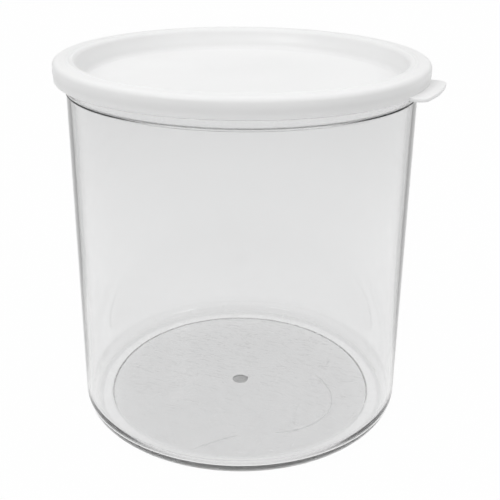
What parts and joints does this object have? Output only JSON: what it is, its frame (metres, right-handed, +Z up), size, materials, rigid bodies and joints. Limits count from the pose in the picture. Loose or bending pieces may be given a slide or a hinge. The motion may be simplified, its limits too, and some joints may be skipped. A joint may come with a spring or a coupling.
{
  "type": "dough proofing container",
  "caption": "Round clear crock with straight, slightly tapered walls, a foot ring and a thick lip, closed by a milky snap lid with a stacking recess and a pull tab.",
  "frame": {"origin": "centre of the circle that the foot ring stands on, on the axis of the crock", "axes": "+Z up along the axis through the mouth, +X towards the pull tab"},
  "size_m": [0.1713, 0.165, 0.167],
  "materials": {
    "clear_plastic": "clear, polished, with fine wear scratches on the floor",
    "milky_plastic": "milky translucent, satin"
  },
  "bodies": {
    "crock": {"container": "clear_plastic"},
    "cover": {"lid": "milky_plastic"}
  },
  "joints": [
    {"name": "lid_lift", "type": "slide", "parent": "crock", "child": "cover", "axis": [0, 0, 1], "range_m": [0, 0.06]}
  ]
}
